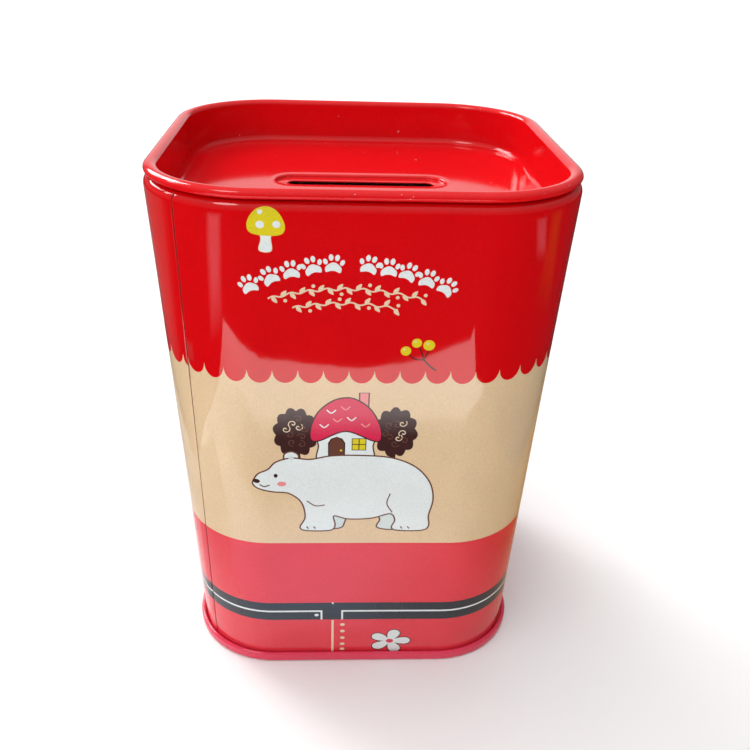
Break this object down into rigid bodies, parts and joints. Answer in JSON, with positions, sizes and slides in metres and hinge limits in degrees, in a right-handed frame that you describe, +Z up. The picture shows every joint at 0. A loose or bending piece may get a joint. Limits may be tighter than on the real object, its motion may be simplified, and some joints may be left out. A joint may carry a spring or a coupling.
{
  "type": "tin money box",
  "caption": "Tapered square tin money box with round corners, a side-seamed body, a seamed-on bottom and a lift-off plug lid with a coin slot.",
  "frame": {"origin": "centre of the footprint, on the surface that the tin stands on", "axes": "+Z up, from the bottom seam to the lid; the printed front faces -Y; +X to the right of someone facing the front"},
  "size_m": [0.085, 0.085, 0.1133],
  "materials": {
    "printed_lacquer": "gloss",
    "pink_lacquer": "gloss",
    "red_lacquer": "gloss"
  },
  "bodies": {
    "tin_body": {"body_shell": "printed_lacquer", "bottom_end": "pink_lacquer"},
    "lid": {"lid": "red_lacquer"}
  },
  "joints": [
    {"name": "lid_lift", "type": "slide", "parent": "tin_body", "child": "lid", "axis": [0, 0, 1], "range_m": [0, 0.1]}
  ]
}
